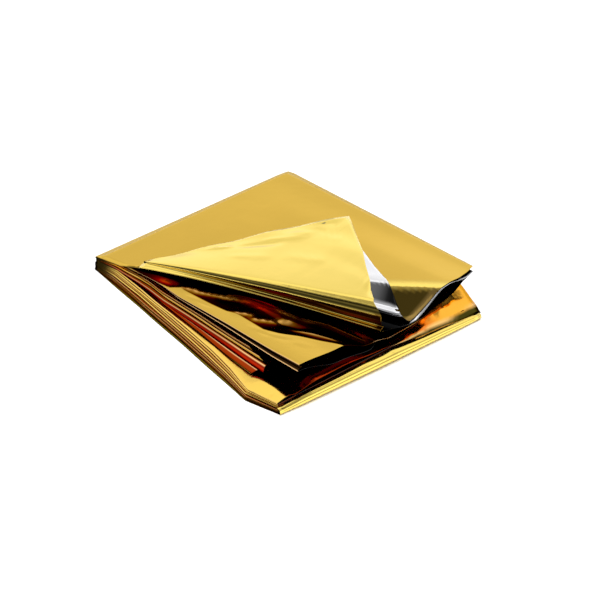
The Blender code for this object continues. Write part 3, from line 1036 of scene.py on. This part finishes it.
def film_material(name, colour, roughness, tint_output):
    """Metallised film: mirror-like, with faint creases and a slightly uneven shine; its colour and
    specular tint are multiplied by the painted light from the mesh.
    """
    material = bpy.data.materials.new(name)
    material.use_nodes = True
    nodes, links = material.node_tree.nodes, material.node_tree.links
    shader = nodes["Principled BSDF"]
    shader.inputs["Metallic"].default_value = 1.0
    where = nodes.new("ShaderNodeTexCoord")

    tint = nodes.new("ShaderNodeTexNoise")
    tint.inputs["Scale"].default_value = 9.0
    tint.inputs["Detail"].default_value = 3.0
    links.new(where.outputs["Object"], tint.inputs["Vector"])
    ramp = nodes.new("ShaderNodeValToRGB")
    ramp.color_ramp.elements[0].position = 0.3
    ramp.color_ramp.elements[0].color = (*[0.93 * c for c in colour], 1.0)
    ramp.color_ramp.elements[1].position = 0.7
    ramp.color_ramp.elements[1].color = (*colour, 1.0)
    links.new(tint.outputs["Fac"], ramp.inputs["Fac"])
    # painted light and shade, from the mesh, multiplied into the colour and the specular tint
    shade = nodes.new("ShaderNodeAttribute")
    shade.attribute_name = "painted_light_tint"
    paint_light = nodes.new("ShaderNodeMix")
    paint_light.data_type = "RGBA"
    paint_light.blend_type = "MULTIPLY"
    paint_light.inputs["Factor"].default_value = 1.0
    links.new(ramp.outputs["Color"], paint_light.inputs["A"])
    links.new(shade.outputs[tint_output], paint_light.inputs["B"])
    links.new(paint_light.outputs["Result"], shader.inputs["Base Color"])
    links.new(shade.outputs[tint_output], shader.inputs["Specular Tint"])

    shine = nodes.new("ShaderNodeMapRange")
    shine.inputs["To Min"].default_value = roughness * 0.75
    shine.inputs["To Max"].default_value = roughness * 1.25
    links.new(tint.outputs["Fac"], shine.inputs["Value"])
    links.new(shine.outputs["Result"], shader.inputs["Roughness"])

    creases = nodes.new("ShaderNodeTexNoise")
    creases.inputs["Scale"].default_value = 55.0
    creases.inputs["Detail"].default_value = 4.0
    creases.inputs["Roughness"].default_value = 0.55
    links.new(where.outputs["Object"], creases.inputs["Vector"])
    bump = nodes.new("ShaderNodeBump")
    bump.inputs["Strength"].default_value = 0.25
    bump.inputs["Distance"].default_value = 0.0006
    links.new(creases.outputs["Fac"], bump.inputs["Height"])
    links.new(bump.outputs["Normal"], shader.inputs["Normal"])
    return material


gold = film_material("gold_film", (0.98, 0.645, 0.115), 0.11, "Color")
silver = film_material("silver_film", (0.93, 0.93, 0.95), 0.10, "Alpha")

blanket = bpy.data.objects.new("foil_blanket_film", folded_sheet())
bpy.context.scene.collection.objects.link(blanket)
blanket.data.materials.append(gold)
blanket.data.materials.append(silver)
thick = blanket.modifiers.new("film thickness", "SOLIDIFY")
thick.thickness = FILM_THICKNESS * MM
thick.offset = -1.0
thick.material_offset = 1

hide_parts("foil_blanket")
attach(blanket, "root")

# ------------------------------------------------------------------ floor, light and camera

CAMERA_AZIMUTH, CAMERA_ELEVATION = math.radians(47.7), math.radians(35.1)
CAMERA_TARGET = (151.6, 104.5, 0.0)
CAMERA_DISTANCE = 1311.8
CAMERA_SENSOR, CAMERA_LENS = 36.0, 90.0
TOWARDS_CAMERA = Vector((
    math.sin(CAMERA_AZIMUTH) * math.cos(CAMERA_ELEVATION),
    -math.cos(CAMERA_AZIMUTH) * math.cos(CAMERA_ELEVATION),
    math.sin(CAMERA_ELEVATION),
))

FLOOR_REACH = 3.0       # metres from the packet to the floor's sides
SUN_STRENGTH, SUN_ANGLE = 3.2, math.radians(60)

# Brightness of the sky by height above the horizon, from 0 to 1: away from the camera, and behind it.
FAR_SKY = [
    (0.0, 0.95), (0.22, 1.2), (0.34, 1.12), (0.42, 1.0), (0.575, 0.9),
    (0.70, 1.1), (0.855, 1.15), (0.89, 0.42), (1.0, 0.42),
]
NEAR_SKY = [
    (0.0, 0.9), (0.10, 0.6), (0.20, 0.60), (0.60, 0.60),
    (0.68, 0.04), (0.78, 0.03), (0.88, 0.36), (1.0, 0.42),
]
FAR_TO_NEAR = (-0.15, 0.25)     # where one sky turns into the other, from away to behind the camera


def white_floor():
    """A matt, nearly white floor, wider than any view of the packet."""
    reach = FLOOR_REACH
    corners = [(-reach, -reach, 0.0), (reach, -reach, 0.0), (reach, reach, 0.0), (-reach, reach, 0.0)]
    mesh = bpy.data.meshes.new("floor")
    mesh.from_pydata(corners, [], [(0, 1, 2, 3)])
    plane = bpy.data.objects.new("floor", mesh)
    bpy.context.scene.collection.objects.link(plane)
    paper = bpy.data.materials.new("floor")
    paper.use_nodes = True
    inputs = paper.node_tree.nodes["Principled BSDF"].inputs
    inputs["Base Color"].default_value = (0.9, 0.9, 0.9, 1.0)
    inputs["Roughness"].default_value = 0.9
    inputs["Specular IOR Level"].default_value = 0.0
    mesh.materials.append(paper)
    return plane


def add_camera():
    """The photo's camera, as fitted to the packet's corners."""
    camera = bpy.data.objects.new("camera", bpy.data.cameras.new("camera"))
    camera.data.sensor_width = CAMERA_SENSOR
    camera.data.lens = CAMERA_LENS
    camera.location = (Vector(CAMERA_TARGET) - Vector(SHIFT) + TOWARDS_CAMERA * CAMERA_DISTANCE) * MM
    camera.rotation_mode = "QUATERNION"
    camera.rotation_quaternion = (-TOWARDS_CAMERA).to_track_quat("-Z", "Y")
    bpy.context.scene.collection.objects.link(camera)
    bpy.context.scene.camera = camera


def add_sun():
    """A wide soft light overhead, for the floor: the film doesn't mirror it."""
    sun = bpy.data.objects.new("overhead", bpy.data.lights.new("overhead", "SUN"))
    sun.data.energy = SUN_STRENGTH
    sun.data.angle = SUN_ANGLE
    sun.visible_glossy = False
    bpy.context.scene.collection.objects.link(sun)


def sky_ramp(nodes, links, height, stops):
    """Brightness by height above the horizon: (height from 0 to 1, brightness) stops."""
    ramp = nodes.new("ShaderNodeValToRGB")
    ramp.color_ramp.interpolation = "EASE"
    elements = ramp.color_ramp.elements
    while len(elements) > 1:
        elements.remove(elements[-1])
    for i, (at, value) in enumerate(stops):
        element = elements[0] if i == 0 else elements.new(at)
        element.position = at
        element.color = (value, value, value, 1.0)
    links.new(height, ramp.inputs["Fac"])
    return ramp.outputs["Color"]


def add_sky():
    """The studio that the film mirrors: one sky away from the camera and one behind it."""
    world = bpy.data.worlds.new("studio")
    world.use_nodes = True
    bpy.context.scene.world = world
    nodes, links = world.node_tree.nodes, world.node_tree.links
    where = nodes.new("ShaderNodeTexCoord")
    split = nodes.new("ShaderNodeSeparateXYZ")
    links.new(where.outputs["Generated"], split.inputs["Vector"])
    far_side = sky_ramp(nodes, links, split.outputs["Z"], FAR_SKY)
    near_side = sky_ramp(nodes, links, split.outputs["Z"], NEAR_SKY)

    towards = nodes.new("ShaderNodeVectorMath")
    towards.operation = "DOT_PRODUCT"
    towards.inputs[1].default_value = Vector((TOWARDS_CAMERA.x, TOWARDS_CAMERA.y, 0.0)).normalized()
    links.new(where.outputs["Generated"], towards.inputs[0])
    side = nodes.new("ShaderNodeMapRange")
    side.interpolation_type = "SMOOTHSTEP"
    side.inputs["From Min"].default_value, side.inputs["From Max"].default_value = FAR_TO_NEAR
    links.new(towards.outputs["Value"], side.inputs["Value"])
    mix = nodes.new("ShaderNodeMix")
    mix.data_type = "RGBA"
    links.new(side.outputs["Result"], mix.inputs["Factor"])
    links.new(far_side, mix.inputs["A"])
    links.new(near_side, mix.inputs["B"])
    links.new(mix.outputs["Result"], nodes["Background"].inputs["Color"])


floor = white_floor()

add_camera()
add_sun()
add_sky()
bpy.context.scene.view_settings.view_transform = "Standard"
bpy.context.scene.cycles.max_bounces = 16
bpy.context.scene.cycles.glossy_bounces = 12
